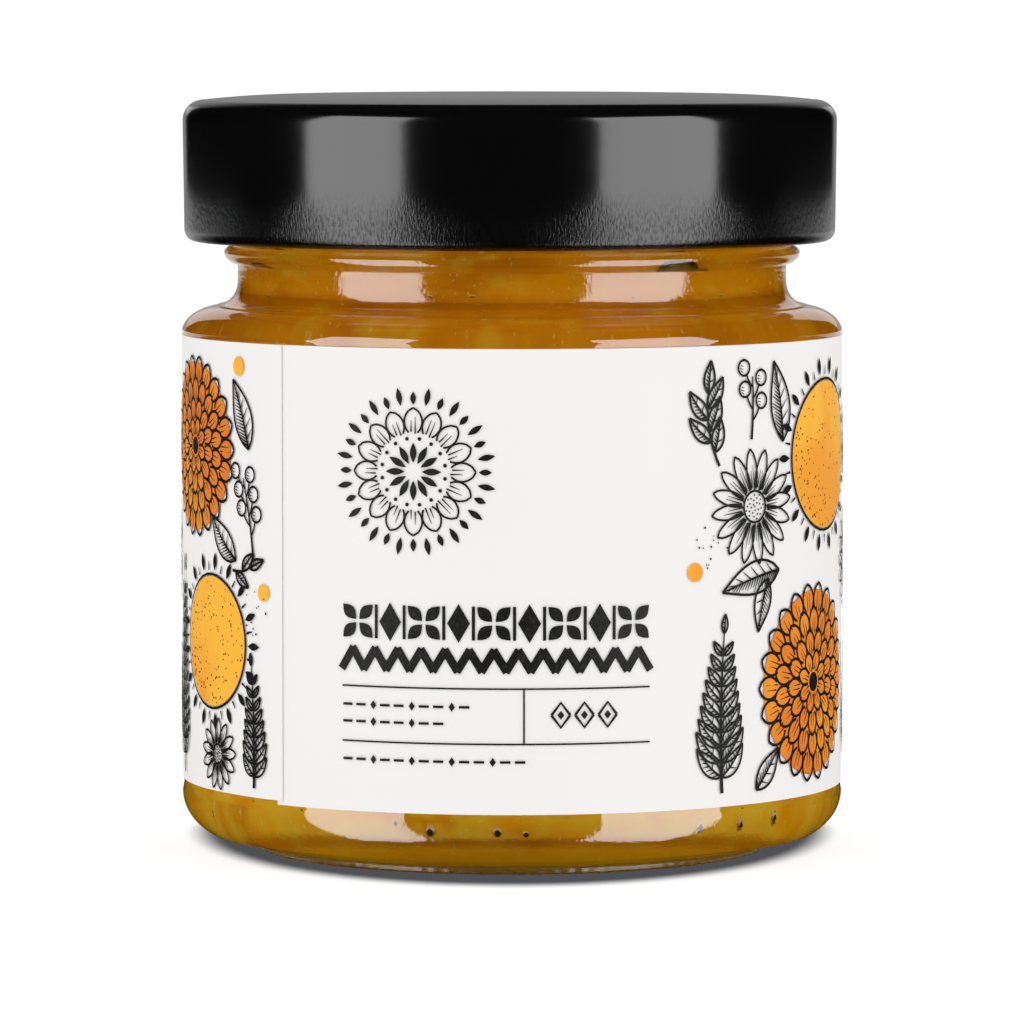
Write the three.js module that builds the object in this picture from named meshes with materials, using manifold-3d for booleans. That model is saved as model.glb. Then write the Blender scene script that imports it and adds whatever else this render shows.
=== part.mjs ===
// A shut twist-off jar of orange marmalade: clear glass, a deep black lid, a wrap-round paper label.
// Millimetres, +Z up. The origin is the middle of the ring that the glass stands on, and -Y is the front.
import * as THREE from "three";
import { mergeVertices } from "three/addons/utils/BufferGeometryUtils.js";
import Module from "manifold-3d";

const wasm = await Module();
wasm.setup();

// Every round piece has the same number of sides, so that nested walls stay parallel.
const SIDES = 60;
const SIDE_ANGLE = 360 / SIDES;

// Body of the glass
const BODY_RADIUS = 34.4;
const PANEL_RADIUS = 34.25; // the label's panel lies a little deeper than the shoulder and the heel
const HEEL_RADIUS = 34.4;
const HEEL_DEPTH = 6; // how far the heel's corner curves in
const HEEL_DROP = 5;
const HEEL_HEIGHT = 6;
const HEEL_START = -55; // degrees on the heel's arc, where the slanted underside starts
const FOOT_RADIUS = 26.5; // outer edge of the low ring that the jar stands on
const FOOT_WIDTH = 2;
const FOOT_HEIGHT = 0.7;
const FOOT_ROUND = 0.4;
const PUSH_UP = 1.6; // how far the middle of the base is domed up
const SHOULDER_HEIGHT = 53.7; // where the round of the shoulder starts

// Neck and finish of the glass
const NECK_RADIUS = 28.55;
const BEAD_RADIUS = 29.95;
const BEAD_DEPTH = 1.8;
const BEAD_DROP = 1.3; // from the bead's widest place down to the neck
const BEAD_RISE = 0.9; // and up to the hollow under the thread
const BEAD_HEIGHT = 62.1;
const FINISH_RADIUS = 30.6;
const RIM_HEIGHT = 77.1;
const RIM_ROUND = 1.3;

// Inside of the glass
const WALL = 2.45;
const NECK_BORE = 26.2;
const NECK_BORE_HEIGHT = 61.5; // where the bore is narrowest
const FINISH_BORE = 27.1;
const FINISH_BORE_HEIGHT = 66;
const MOUTH_BORE = 27.9;
const MOUTH_HEIGHT = 75.9;
const SHOULDER_BORE_BASE = 49.5;
const SHOULDER_BORE_RISE = 8.2;
const FLOOR_HEIGHT = 4.2;
const FLOOR_DOME = 0.9;
const FLOOR_CORNER = 7;

// Thread on the glass and the lugs of the lid that lie under it
const STARTS = 4;
const THREAD_SPAN = 64; // degrees
const THREAD_TOP = 70.4;
const THREAD_DROP = 2.6;
const THREAD_RADIUS = 32.3;
const LUG_SPAN = 20; // degrees
const LUG_RADIUS = 31.05;

// Lid
const LID_RADIUS = 34;
const LID_TAPER = 0.15;
const LID_SHEET = 0.45;
const LID_TOP = 77.9; // at the rounded edge, from which the top rises to its flat middle
const LID_CORNER = 2.1;
const LID_PANEL_RADIUS = 22;
const LID_PANEL_RISE = 0.55;
const LID_BOTTOM = 63.27;
const LID_SHIFT = -0.23; // the lid sits a little to the left on its thread
const CURL_ROUND = 1.2;

// Label
const LABEL_BOTTOM = 7;
const LABEL_TOP = 53.6;
const LABEL_GAP = 0.1;
const PAPER = 0.12;
const SEAM_ANGLE = -43.7; // degrees from the front, on the left
const LAP_ANGLE = 1.4;
const LAP_LIFT = 0.2;
const LIFT_SPAN = 14;
const END_SKEW = 0.45; // the last quarter of the strip runs a little high along its lower edge

// Marmalade
const FILL_HEIGHT = 70;
const FILL_GAP = 0.3;
const MENISCUS = 0.5; // how far the middle of the surface lies below its edge
const MENISCUS_WIDTH = 2;

const radians = THREE.MathUtils.degToRad;
const point = (r, z) => new THREE.Vector2(r, z);

// Points of an elliptical arc in the (radius, height) plane, from one angle to another in degrees.
function arc(r, z, across, up, from, to, steps) {
  return Array.from({ length: steps + 1 }, (_, i) => {
    const a = radians(from + ((to - from) * i) / steps);
    return point(r + across * Math.cos(a), z + up * Math.sin(a));
  });
}

// A profile in the (radius, height) plane, turned about +Z.
function turned(profile) {
  return new THREE.LatheGeometry(profile, SIDES).rotateX(Math.PI / 2);
}

// A closed strip that follows stations round the axis, each with an angle from the front and its section's corners.
function swept(stations) {
  const corners = stations[0].section.length;
  const positions = stations.flatMap(({ angle, section }) =>
    section.flatMap(([r, z]) => [
      r * Math.sin(radians(angle)),
      -r * Math.cos(radians(angle)),
      z,
    ]),
  );
  const index = [];
  for (let s = 0; s < stations.length - 1; s++)
    for (let c = 0; c < corners; c++) {
      const a = s * corners + c;
      const b = s * corners + ((c + 1) % corners);
      index.push(a, a + corners, b, b, a + corners, b + corners);
    }
  const last = (stations.length - 1) * corners;
  for (let c = 1; c < corners - 1; c++) {
    index.push(0, c, c + 1);
    index.push(last, last + c + 1, last + c);
  }
  const geometry = new THREE.BufferGeometry();
  geometry.setAttribute(
    "position",
    new THREE.Float32BufferAttribute(positions, 3),
  );
  geometry.setIndex(index);
  return geometry;
}

// Radius of a many-sided wall at an angle between its corners.
function wallRadius(r, angle) {
  const side = Math.floor(angle / SIDE_ANGLE) * SIDE_ANGLE;
  const fromMiddle = angle - side - SIDE_ANGLE / 2;
  return (
    (r * Math.cos(radians(SIDE_ANGLE / 2))) / Math.cos(radians(fromMiddle))
  );
}

function solidOf(geometry) {
  const bare = geometry.clone();
  bare.deleteAttribute("normal");
  bare.deleteAttribute("uv");
  const merged = mergeVertices(bare, 1e-4);
  return new wasm.Manifold(
    new wasm.Mesh({
      numProp: 3,
      vertProperties: new Float32Array(merged.attributes.position.array),
      triVerts: new Uint32Array(merged.index.array),
    }),
  );
}

function geometryOf(solid) {
  const mesh = solid.getMesh();
  const geometry = new THREE.BufferGeometry();
  geometry.setAttribute(
    "position",
    new THREE.BufferAttribute(mesh.vertProperties, 3),
  );
  geometry.setIndex(new THREE.BufferAttribute(mesh.triVerts, 1));
  geometry.computeVertexNormals();
  return geometry;
}

function fused(base, additions) {
  return geometryOf(
    additions.reduce((whole, piece) => whole.add(solidOf(piece)), solidOf(base)),
  );
}

// Radius of the bore at a height between its finish and its mouth.
function mouthBoreAt(z) {
  const share = (z - FINISH_BORE_HEIGHT) / (MOUTH_HEIGHT - FINISH_BORE_HEIGHT);
  return FINISH_BORE + (MOUTH_BORE - FINISH_BORE) * share;
}

// Inner wall of the glass from a height in its mouth down to the middle of its floor, set in for what fills it.
function innerWall(top, inset) {
  const bodyBore = PANEL_RADIUS - WALL - inset;
  const shoulderCentre = NECK_BORE - 0.4 - inset;
  const floor = FLOOR_HEIGHT + inset;
  return [
    point(mouthBoreAt(top) - inset, top),
    point(FINISH_BORE - inset, FINISH_BORE_HEIGHT),
    point(NECK_BORE - inset, NECK_BORE_HEIGHT),
    ...arc(
      shoulderCentre,
      SHOULDER_BORE_BASE,
      bodyBore - shoulderCentre,
      SHOULDER_BORE_RISE,
      80,
      0,
      6,
    ),
    ...arc(
      bodyBore - FLOOR_CORNER,
      floor + FLOOR_CORNER,
      FLOOR_CORNER,
      FLOOR_CORNER,
      0,
      -90,
      5,
    ),
    point(14, floor + FLOOR_DOME * 0.7),
    point(0, floor + FLOOR_DOME),
  ];
}

function glassProfile() {
  const foot = [
    point(0, PUSH_UP),
    point(16, PUSH_UP * 0.8),
    point(FOOT_RADIUS - FOOT_WIDTH - 1.2, PUSH_UP * 0.35),
    point(FOOT_RADIUS - FOOT_WIDTH, 0),
    point(FOOT_RADIUS - FOOT_ROUND, 0),
    point(FOOT_RADIUS, FOOT_ROUND),
    point(FOOT_RADIUS, FOOT_HEIGHT),
  ];
  const heel = arc(
    HEEL_RADIUS - HEEL_DEPTH,
    HEEL_HEIGHT,
    HEEL_DEPTH,
    HEEL_DROP,
    HEEL_START,
    0,
    6,
  );
  const panel = [
    point(PANEL_RADIUS, LABEL_BOTTOM - 0.1),
    point(PANEL_RADIUS, LABEL_TOP + 0.15),
  ];
  const shoulder = arc(30, SHOULDER_HEIGHT, BODY_RADIUS - 30, 2.85, 6, 83, 7);
  const flare = arc(30.65, 59.1, 2.1, 2.45, 268, 180, 4);
  const beadCentre = BEAD_RADIUS - BEAD_DEPTH;
  const bead = [
    ...arc(beadCentre, BEAD_HEIGHT, BEAD_DEPTH, BEAD_DROP, -68, 0, 4),
    ...arc(beadCentre, BEAD_HEIGHT, BEAD_DEPTH, BEAD_RISE, 0, 60, 2).slice(1),
  ];
  const finish = [point(FINISH_RADIUS, BEAD_HEIGHT + 2.6)];
  const rim = arc(
    FINISH_RADIUS - RIM_ROUND,
    RIM_HEIGHT - RIM_ROUND,
    RIM_ROUND,
    RIM_ROUND,
    0,
    90,
    3,
  );
  const lip = [point(MOUTH_BORE + 0.5, RIM_HEIGHT - 0.25)];
  return [
    ...foot,
    ...heel,
    ...panel,
    ...shoulder,
    ...flare,
    point(NECK_RADIUS, BEAD_HEIGHT - BEAD_DROP + 0.05),
    ...bead,
    ...finish,
    ...rim,
    ...lip,
    ...innerWall(MOUTH_HEIGHT, 0),
  ];
}

// One start of the thread: a ridge that runs down round the finish and fades out at both ends.
function threadStart(middle) {
  const steps = 12;
  return swept(
    Array.from({ length: steps + 1 }, (_, i) => {
      const share = i / steps;
      const fade = Math.min(1, 5 * Math.min(share, 1 - share) + 0.25);
      const z = THREAD_TOP - THREAD_DROP * share;
      const outer = FINISH_RADIUS + (THREAD_RADIUS - FINISH_RADIUS) * fade;
      const inner = FINISH_RADIUS - 0.6;
      return {
        angle: middle + THREAD_SPAN * (share - 0.5),
        section: [
          [inner, z - 1.3],
          [outer, z - 0.4],
          [outer, z + 0.5],
          [inner, z + 1.3],
        ],
      };
    }),
  );
}

// One lug: a stretch of the lid's curl that is pressed inwards, under the low end of a thread start.
function lug(middle) {
  const steps = 4;
  const curlRadius = LID_RADIUS - LID_TAPER - CURL_ROUND;
  return swept(
    Array.from({ length: steps + 1 }, (_, i) => ({
      angle: middle + LUG_SPAN * (i / steps - 0.5),
      section: [
        [LUG_RADIUS, LID_BOTTOM + 1.1],
        [curlRadius, LID_BOTTOM + 0.5],
        [curlRadius, LID_BOTTOM + 2.1],
        [LUG_RADIUS, LID_BOTTOM + 1.9],
      ],
    })),
  );
}

// Height of the lid's top at a radius: flat in the middle, then down in a shallow dome to the rounded edge.
function lidTopAt(r) {
  const edge = LID_RADIUS - LID_CORNER;
  const width = edge - LID_PANEL_RADIUS;
  const left = 1 - Math.min(1, (edge - r) / width);
  return LID_TOP + LID_PANEL_RISE * (1 - left * left);
}

function lidProfile() {
  const skirtFoot = LID_RADIUS - LID_TAPER;
  const panelTop = LID_TOP + LID_PANEL_RISE;
  const curlCentre = point(skirtFoot - CURL_ROUND, LID_BOTTOM + CURL_ROUND);
  const insideCorner = LID_CORNER - LID_SHEET;
  const slope = [6.6, 3.3].map((out) => LID_PANEL_RADIUS + out);
  return [
    point(0, panelTop - LID_SHEET),
    point(LID_PANEL_RADIUS, panelTop - LID_SHEET),
    ...slope.toReversed().map((r) => point(r, lidTopAt(r) - LID_SHEET)),
    ...arc(
      LID_RADIUS - LID_CORNER,
      LID_TOP - LID_CORNER,
      insideCorner,
      insideCorner,
      90,
      0,
      2,
    ),
    point(skirtFoot - LID_SHEET, LID_BOTTOM + 2 * CURL_ROUND + 0.6),
    ...arc(curlCentre.x, curlCentre.y, CURL_ROUND, CURL_ROUND, 100, 360, 9),
    point(LID_RADIUS, LID_TOP - LID_CORNER),
    ...arc(
      LID_RADIUS - LID_CORNER,
      LID_TOP - LID_CORNER,
      LID_CORNER,
      LID_CORNER,
      0,
      90,
      5,
    ).slice(1),
    ...slope.map((r) => point(r, lidTopAt(r))),
    point(LID_PANEL_RADIUS, panelTop),
    point(0, panelTop),
  ];
}

// The paper strip runs from the seam round to the right and laps over its own start.
function labelStrip() {
  const end = SEAM_ANGLE + 360 + LAP_ANGLE;
  const corners = [];
  for (
    let a = Math.ceil(SEAM_ANGLE / SIDE_ANGLE) * SIDE_ANGLE;
    a < end;
    a += SIDE_ANGLE
  )
    corners.push(a);
  return swept(
    [SEAM_ANGLE, ...corners, end].map((angle) => {
      const lift =
        LAP_LIFT *
        THREE.MathUtils.smoothstep(angle, end - LIFT_SPAN, end - 2 * LAP_ANGLE);
      const inner = wallRadius(PANEL_RADIUS + LABEL_GAP, angle) + lift;
      const low =
        LABEL_BOTTOM + END_SKEW * THREE.MathUtils.smoothstep(angle, 120, 300);
      return {
        angle,
        section: [
          [inner, low],
          [inner + PAPER, low],
          [inner + PAPER, LABEL_TOP],
          [inner, LABEL_TOP],
        ],
      };
    }),
  );
}

function marmaladeProfile() {
  const wall = innerWall(FILL_HEIGHT, FILL_GAP);
  const surface = FILL_HEIGHT - MENISCUS;
  return [
    point(0, surface),
    point(wall[0].x - MENISCUS_WIDTH, surface),
    ...wall,
  ].reverse();
}

function everyQuarter(make, offset) {
  return Array.from({ length: STARTS }, (_, i) =>
    make((360 / STARTS) * i + offset),
  );
}

function piece(name, geometry, material) {
  const mesh = new THREE.Mesh(
    geometry,
    new THREE.MeshStandardMaterial(material),
  );
  mesh.name = name;
  return mesh;
}

const lid = piece(
  "lid",
  fused(turned(lidProfile()), everyQuarter(lug, 40)),
  { color: 0x08080a, roughness: 0.22, metalness: 0.1 },
);
lid.position.x = LID_SHIFT;

const jar = new THREE.Group();
jar.add(
  piece(
    "jar_glass",
    fused(turned(glassProfile()), everyQuarter(threadStart, 20)),
    {
      color: 0xdde6e2,
      roughness: 0.03,
      metalness: 0,
      transparent: true,
      opacity: 0.35,
    },
  ),
  piece("marmalade", turned(marmaladeProfile()), {
    color: 0xb87408,
    roughness: 0.3,
    metalness: 0,
  }),
  lid,
  piece("label", labelStrip(), {
    color: 0xf4f3f1,
    roughness: 0.65,
    metalness: 0,
  }),
);

export default jar;
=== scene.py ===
import math
import random

import bpy
from mathutils import Matrix, Vector, noise


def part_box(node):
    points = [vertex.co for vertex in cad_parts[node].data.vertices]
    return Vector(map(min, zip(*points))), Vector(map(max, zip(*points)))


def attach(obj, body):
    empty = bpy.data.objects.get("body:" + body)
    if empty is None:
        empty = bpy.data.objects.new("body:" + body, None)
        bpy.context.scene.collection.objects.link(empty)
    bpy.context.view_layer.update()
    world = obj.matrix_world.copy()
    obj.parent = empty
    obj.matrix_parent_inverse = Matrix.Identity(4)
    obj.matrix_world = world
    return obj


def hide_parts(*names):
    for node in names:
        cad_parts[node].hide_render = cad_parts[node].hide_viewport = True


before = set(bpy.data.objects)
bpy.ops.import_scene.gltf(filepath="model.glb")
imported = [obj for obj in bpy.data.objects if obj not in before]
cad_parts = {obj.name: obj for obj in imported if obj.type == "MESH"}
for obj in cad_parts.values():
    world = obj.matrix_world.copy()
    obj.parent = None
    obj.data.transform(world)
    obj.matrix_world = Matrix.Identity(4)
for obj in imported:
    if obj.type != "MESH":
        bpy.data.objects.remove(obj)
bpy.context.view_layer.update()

mm = 0.001
random.seed(27)

# Places that the frame gives, in metres
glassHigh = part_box("jar_glass")[1]
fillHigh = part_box("marmalade")[1]
lidLow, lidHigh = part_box("lid")
labelLow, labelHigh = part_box("label")
bodyRadius = glassHigh.x
rimHeight = glassHigh.z
lidRadius = (lidHigh.x - lidLow.x) / 2
lidShift = (lidHigh.x + lidLow.x) / 2
paperRadius = labelHigh.x
print("frame loaded: body", round(bodyRadius / mm, 2), "mm, height", round(lidHigh.z / mm, 2), "mm")


class Sock:
    # one output of a node, with the arithmetic that the patterns below use

    def __init__(self, sheet, socket):
        self.sheet = sheet
        self.socket = socket

    def apply(self, operation, *others):
        return self.sheet.math(operation, self, *others)

    def __add__(self, other):
        return self.apply("ADD", other)

    def __radd__(self, other):
        return self.apply("ADD", other)

    def __sub__(self, other):
        return self.apply("SUBTRACT", other)

    def __mul__(self, other):
        return self.apply("MULTIPLY", other)

    def __rmul__(self, other):
        return self.apply("MULTIPLY", other)

    def __truediv__(self, other):
        return self.apply("DIVIDE", other)

    def __abs__(self):
        return self.apply("ABSOLUTE")


class Sheet:
    # a material, the one method that adds any node to it, and short forms for the common nodes

    def __init__(self, name):
        self.material = bpy.data.materials.new(name)
        self.material.use_nodes = True
        self.tree = self.material.node_tree
        self.tree.nodes.clear()

    def node(self, kind, settings=None, sockets=None, out=0):
        made = self.tree.nodes.new("ShaderNode" + kind)
        for key, value in (settings or {}).items():
            setattr(made, key, value)
        for key, value in (sockets or {}).items():
            if isinstance(value, Sock):
                self.tree.links.new(value.socket, made.inputs[key])
            else:
                made.inputs[key].default_value = value
        return Sock(self, made.outputs[out])

    def math(self, operation, *values):
        return self.node("Math", {"operation": operation}, dict(enumerate(values)))

    def mix(self, factor, first, second, blend="MIX"):
        settings = {"data_type": "RGBA", "blend_type": blend}
        return self.node("Mix", settings, {0: factor, 6: first, 7: second}, 2)

    # from 0 at the low value to 1 at the high one, with soft ends; low may be the larger of the two
    def step(self, value, low, high):
        settings = {"interpolation_type": "SMOOTHSTEP"}
        return self.node("MapRange", settings, {"Value": value, "From Min": low, "From Max": high})

    def place(self, stretch=None):
        place = self.node("TexCoord", out="Object")
        if stretch:
            return self.node("Mapping", sockets={"Vector": place, "Scale": stretch})
        return place

    def axis(self, letter):
        return self.node("SeparateXYZ", sockets={"Vector": self.place()}, out=letter)

    def noise(self, scale, detail, where=None):
        sockets = {"Vector": where or self.place(), "Scale": scale, "Detail": detail}
        return self.node("TexNoise", sockets=sockets, out="Fac")

    def bump(self, height, strength, distance):
        sockets = {"Height": height, "Strength": strength, "Distance": distance}
        return self.node("Bump", sockets=sockets)

    def surface(self, shader):
        output = self.tree.nodes.new("ShaderNodeOutputMaterial")
        self.tree.links.new(shader.socket, output.inputs["Surface"])
        return self.material

    def principled(self, **sockets):
        named = {key.replace("_", " "): value for key, value in sockets.items()}
        return self.node("BsdfPrincipled", sockets=named)


def arc(centreR, centreZ, across, up, start, end, steps):
    points = []
    for i in range(steps + 1):
        a = math.radians(start + (end - start) * i / steps)
        points.append((centreR + across * math.cos(a), centreZ + up * math.sin(a)))
    return points


# The same soft step for a plain number
def smoothShare(value, low, high):
    t = min(1, max(0, (value - low) / (high - low)))
    return t * t * (3 - 2 * t)


def selectOnly(pieces):
    bpy.ops.object.select_all(action="DESELECT")
    for piece in pieces:
        piece.select_set(True)
    bpy.context.view_layer.objects.active = pieces[0]


def copyOf(piece):
    copy = piece.copy()
    copy.data = piece.data.copy()
    bpy.context.collection.objects.link(copy)
    return copy


def joinPieces(pieces):
    selectOnly(pieces)
    bpy.ops.object.join()
    return bpy.context.object


# Extrudes one vertex along an outline in millimetres, (radius, height), and stays in edit mode
def drawOutline(name, outline):
    bpy.ops.object.select_all(action="DESELECT")
    lastR, lastZ = outline[0]
    bpy.ops.mesh.primitive_plane_add(size=mm, location=(lastR * mm, 0, lastZ * mm))
    piece = bpy.context.object
    piece.name = name
    bpy.ops.object.transform_apply(location=True, rotation=True, scale=True)
    bpy.ops.object.mode_set(mode="EDIT")
    bpy.ops.mesh.select_all(action="SELECT")
    bpy.ops.mesh.merge(type="CENTER")
    for r, z in outline[1:]:
        move = ((r - lastR) * mm, 0, (z - lastZ) * mm)
        bpy.ops.mesh.extrude_vertices_move(TRANSFORM_OT_translate={"value": move})
        lastR, lastZ = r, z
    bpy.ops.mesh.select_all(action="SELECT")
    return piece


# Spins an outline all the way round the jar's axis
def turnedPiece(name, outline, sides):
    piece = drawOutline(name, outline)
    bpy.ops.mesh.spin(steps=sides, angle=math.tau, center=(0, 0, 0), axis=(0, 0, 1))
    bpy.ops.mesh.select_all(action="SELECT")
    bpy.ops.mesh.remove_doubles(threshold=0.002 * mm)
    bpy.ops.mesh.normals_make_consistent(inside=False)
    bpy.ops.object.mode_set(mode="OBJECT")
    return piece


# Spins a closed section through part of a turn, anticlockwise from above, from its place at the jar's right
def woundPiece(name, section, span, steps):
    piece = drawOutline(name, section)
    bpy.ops.mesh.edge_face_add()
    bpy.ops.mesh.spin(steps=steps, angle=-math.radians(span), center=(0, 0, 0), axis=(0, 0, 1))
    bpy.ops.object.mode_set(mode="OBJECT")
    return piece


# Fuses four turned copies of a wound piece to its carrier; the first one's middle is at the angle given
def fuseFour(carrier, wound, middle, span):
    copies = []
    for k in range(4):
        copy = copyOf(wound)
        turn = math.radians(middle - span / 2 - 90 + 90 * k)
        copy.data.transform(Matrix.Rotation(turn, 4, "Z"))
        copies.append(copy)
    bpy.data.objects.remove(wound)
    joined = joinPieces(copies)
    bpy.ops.object.mode_set(mode="EDIT")
    bpy.ops.mesh.select_all(action="SELECT")
    bpy.ops.mesh.normals_make_consistent(inside=False)
    bpy.ops.object.mode_set(mode="OBJECT")
    before = len(carrier.data.polygons)
    fuse = carrier.modifiers.new("fuse", "BOOLEAN")
    fuse.operation = "UNION"
    fuse.solver = "MANIFOLD"
    fuse.object = joined
    bpy.context.view_layer.objects.active = carrier
    bpy.ops.object.modifier_apply(modifier="fuse")
    bpy.data.objects.remove(joined)
    print(carrier.name, "fused:", before, "to", len(carrier.data.polygons), "faces")


def smoothBy(piece, degrees):
    selectOnly([piece])
    bpy.ops.object.shade_smooth_by_angle(angle=math.radians(degrees))


def finishPiece(piece, material, node=None):
    piece.data.materials.clear()
    piece.data.materials.append(material)
    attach(piece, "root")
    if node:
        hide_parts(node)


# Glass: outer and inner wall of the jar, with its bead, its finish and the ring that it stands on

# millimetres; a finish that changes between two heights begins at the first and is full at the second
glass = {
    "sides": 192,
    "panelRadius": 34.25,
    "heelRadius": 34.4,
    "heelDepth": 6,
    "heelDrop": 5,
    "heelHeight": 6,
    "heelStart": -55,
    "footRadius": 26.5,
    "footWidth": 2,
    "footHeight": 0.7,
    "footRound": 0.4,
    "pushUp": 1.6,
    "shoulderHeight": 53.7,
    "shoulderRadius": 30,
    "shoulderRise": 2.85,
    # the bend's centre, as radius and height, then how far it reaches across and up
    "neckBend": (30.65, 59.1, 2.1, 2.45),
    "neckRadius": 28.55,
    "beadRadius": 29.95,
    "beadDepth": 1.8,
    "beadDrop": 1.3,
    "beadRise": 0.9,
    "beadHeight": 62.1,
    "finishRadius": 30.6,
    "rimRound": 1.3,
    "wall": 2.45,
    "shoulderBore": (49.5, 8.2),
    "neckBore": 26.2,
    "neckBand": (61.5, 63.2),
    "finishBore": 27.1,
    "finishLow": 66,
    "mouthBore": 27.9,
    "mouthHeight": 75.9,
    "floorHeight": 4.2,
    "floorDome": 0.9,
    "floorCorner": 7,
    "tint": (0.985, 0.99, 0.98, 1),
    "baseTint": (0.62, 0.95, 0.85, 1),
    "mirror": 0.05,
    "waveLength": 6.5,
    "rippleLength": 2.6,
    "waveHeight": 0.025,
    "waveBand": (2, 63),
    "chilledNeck": (54.5, 58),
    "chilledHeel": (7.5, 4),
    "ringedNeck": (52.5, 55),
    "tintedFoot": (2.2, 0.6),
    "knurledFoot": (1.2, 0.8),
    "knurls": 110,
    "threadSpan": 64,
    "threadMiddle": 20,
    "threadTop": 70.4,
    "threadDrop": 2.6,
    "threadRadius": 32.3,
    "threadSteps": 32,
}


def mouthBoreAt(z):
    low, high = glass["finishLow"], glass["mouthHeight"]
    share = (z - low) / (high - low)
    return glass["finishBore"] + (glass["mouthBore"] - glass["finishBore"]) * share


# The inner wall from a height in the mouth to the floor's middle; a negative inset reaches into the glass
def innerWall(top, inset):
    g = glass
    bodyBore = g["panelRadius"] - g["wall"] - inset
    shoulderHeight, shoulderRise = g["shoulderBore"]
    shoulderCentre = g["neckBore"] - 0.4 - inset
    neckLow, neckHigh = g["neckBand"]
    floor = g["floorHeight"] + inset
    corner = g["floorCorner"]
    points = [
        (mouthBoreAt(top) - inset, top),
        (g["finishBore"] - inset, g["finishLow"]),
        (g["neckBore"] + 0.3 - inset, neckHigh),
        (g["neckBore"] - inset, neckLow),
    ]
    points += arc(shoulderCentre, shoulderHeight, bodyBore - shoulderCentre, shoulderRise, 80, 0, 14)
    points += arc(bodyBore - corner, floor + corner, corner, corner, 0, -90, 12)
    points += [(14, floor + g["floorDome"] * 0.7), (0, floor + g["floorDome"])]
    return points


def boreAt(z):
    wall = innerWall(glass["mouthHeight"], 0)
    for (highR, highZ), (lowR, lowZ) in zip(wall, wall[1:]):
        if lowZ <= z <= highZ:
            return highR + (lowR - highR) * (highZ - z) / (highZ - lowZ)


def glassOutline():
    g = glass
    footInner = g["footRadius"] - g["footWidth"]
    rimCentre = g["finishRadius"] - g["rimRound"]
    rim = rimHeight / mm
    labelTop = labelHigh.z / mm + 0.15
    labelBottom = labelLow.z / mm - 0.1
    footRound = g["footRound"]
    heelCentre = g["heelRadius"] - g["heelDepth"]
    shoulderDepth = bodyRadius / mm - g["shoulderRadius"]
    points = [(0, g["pushUp"]), (16, g["pushUp"] * 0.8)]
    points += [(footInner - 1.2, g["pushUp"] * 0.35), (footInner, 0)]
    points += arc(g["footRadius"] - footRound, footRound, footRound, footRound, -90, 0, 4)
    points += [(g["footRadius"], g["footHeight"] - 0.1), (g["footRadius"] + 0.1, g["footHeight"])]
    points += arc(heelCentre, g["heelHeight"], g["heelDepth"], g["heelDrop"], g["heelStart"], 0, 18)
    points += [(g["panelRadius"], labelBottom), (g["panelRadius"], labelTop)]
    points += arc(g["shoulderRadius"], g["shoulderHeight"], shoulderDepth, g["shoulderRise"], 6, 83, 18)
    points += arc(*g["neckBend"], 268, 180, 12)
    points += [(g["neckRadius"], g["beadHeight"] - g["beadDrop"] + 0.05)]
    beadCentre = g["beadRadius"] - g["beadDepth"]
    points += arc(beadCentre, g["beadHeight"], g["beadDepth"], g["beadDrop"], -68, 0, 10)
    points += arc(beadCentre, g["beadHeight"], g["beadDepth"], g["beadRise"], 0, 60, 6)[1:]
    points += [(g["finishRadius"], g["beadHeight"] + 2.6)]
    points += arc(rimCentre, rim - g["rimRound"], g["rimRound"], g["rimRound"], 0, 90, 6)
    points += [(g["mouthBore"] + 0.5, rim - 0.25)]
    return points + innerWall(g["mouthHeight"], 0)


# A start of the thread runs down round the finish and fades out at both ends
def threadStart():
    g = glass
    inner = g["finishRadius"] - 0.6
    top = g["threadTop"]
    outer = g["threadRadius"]
    section = [(inner, top - 1.3), (outer, top - 0.4), (outer, top + 0.5), (inner, top + 1.3)]
    ridge = woundPiece("threadStart", section, g["threadSpan"], g["threadSteps"])
    for vertex in ridge.data.vertices:
        share = vertex.index // len(section) / g["threadSteps"]
        fade = min(1, 5 * min(share, 1 - share) + 0.25)
        r = math.hypot(vertex.co.x, vertex.co.y)
        if r > g["finishRadius"] * mm:
            faded = (g["finishRadius"] + (outer - g["finishRadius"]) * fade) * mm
            vertex.co.x *= faded / r
            vertex.co.y *= faded / r
        vertex.co.z -= g["threadDrop"] * share * mm
    return ridge


# Blown glass is never quite even: the outer wall waves by a few hundredths of a millimetre
def waveWall(piece):
    low, high = glass["waveBand"]
    outermost = boreAt(glass["floorHeight"] + glass["floorCorner"])
    for vertex in piece.data.vertices:
        z = vertex.co.z / mm
        r = math.hypot(vertex.co.x, vertex.co.y) / mm
        bore = boreAt(z) if glass["floorHeight"] + 1 < z < glass["finishLow"] else outermost
        if not bore or r < bore + 1 or z < low or z > high:
            continue
        wave = noise.noise(vertex.co / (glass["waveLength"] * mm))
        wave += 0.35 * noise.noise(vertex.co / (glass["rippleLength"] * mm))
        grown = 1 + wave * glass["waveHeight"] / r
        vertex.co.x *= grown
        vertex.co.y *= grown


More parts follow.
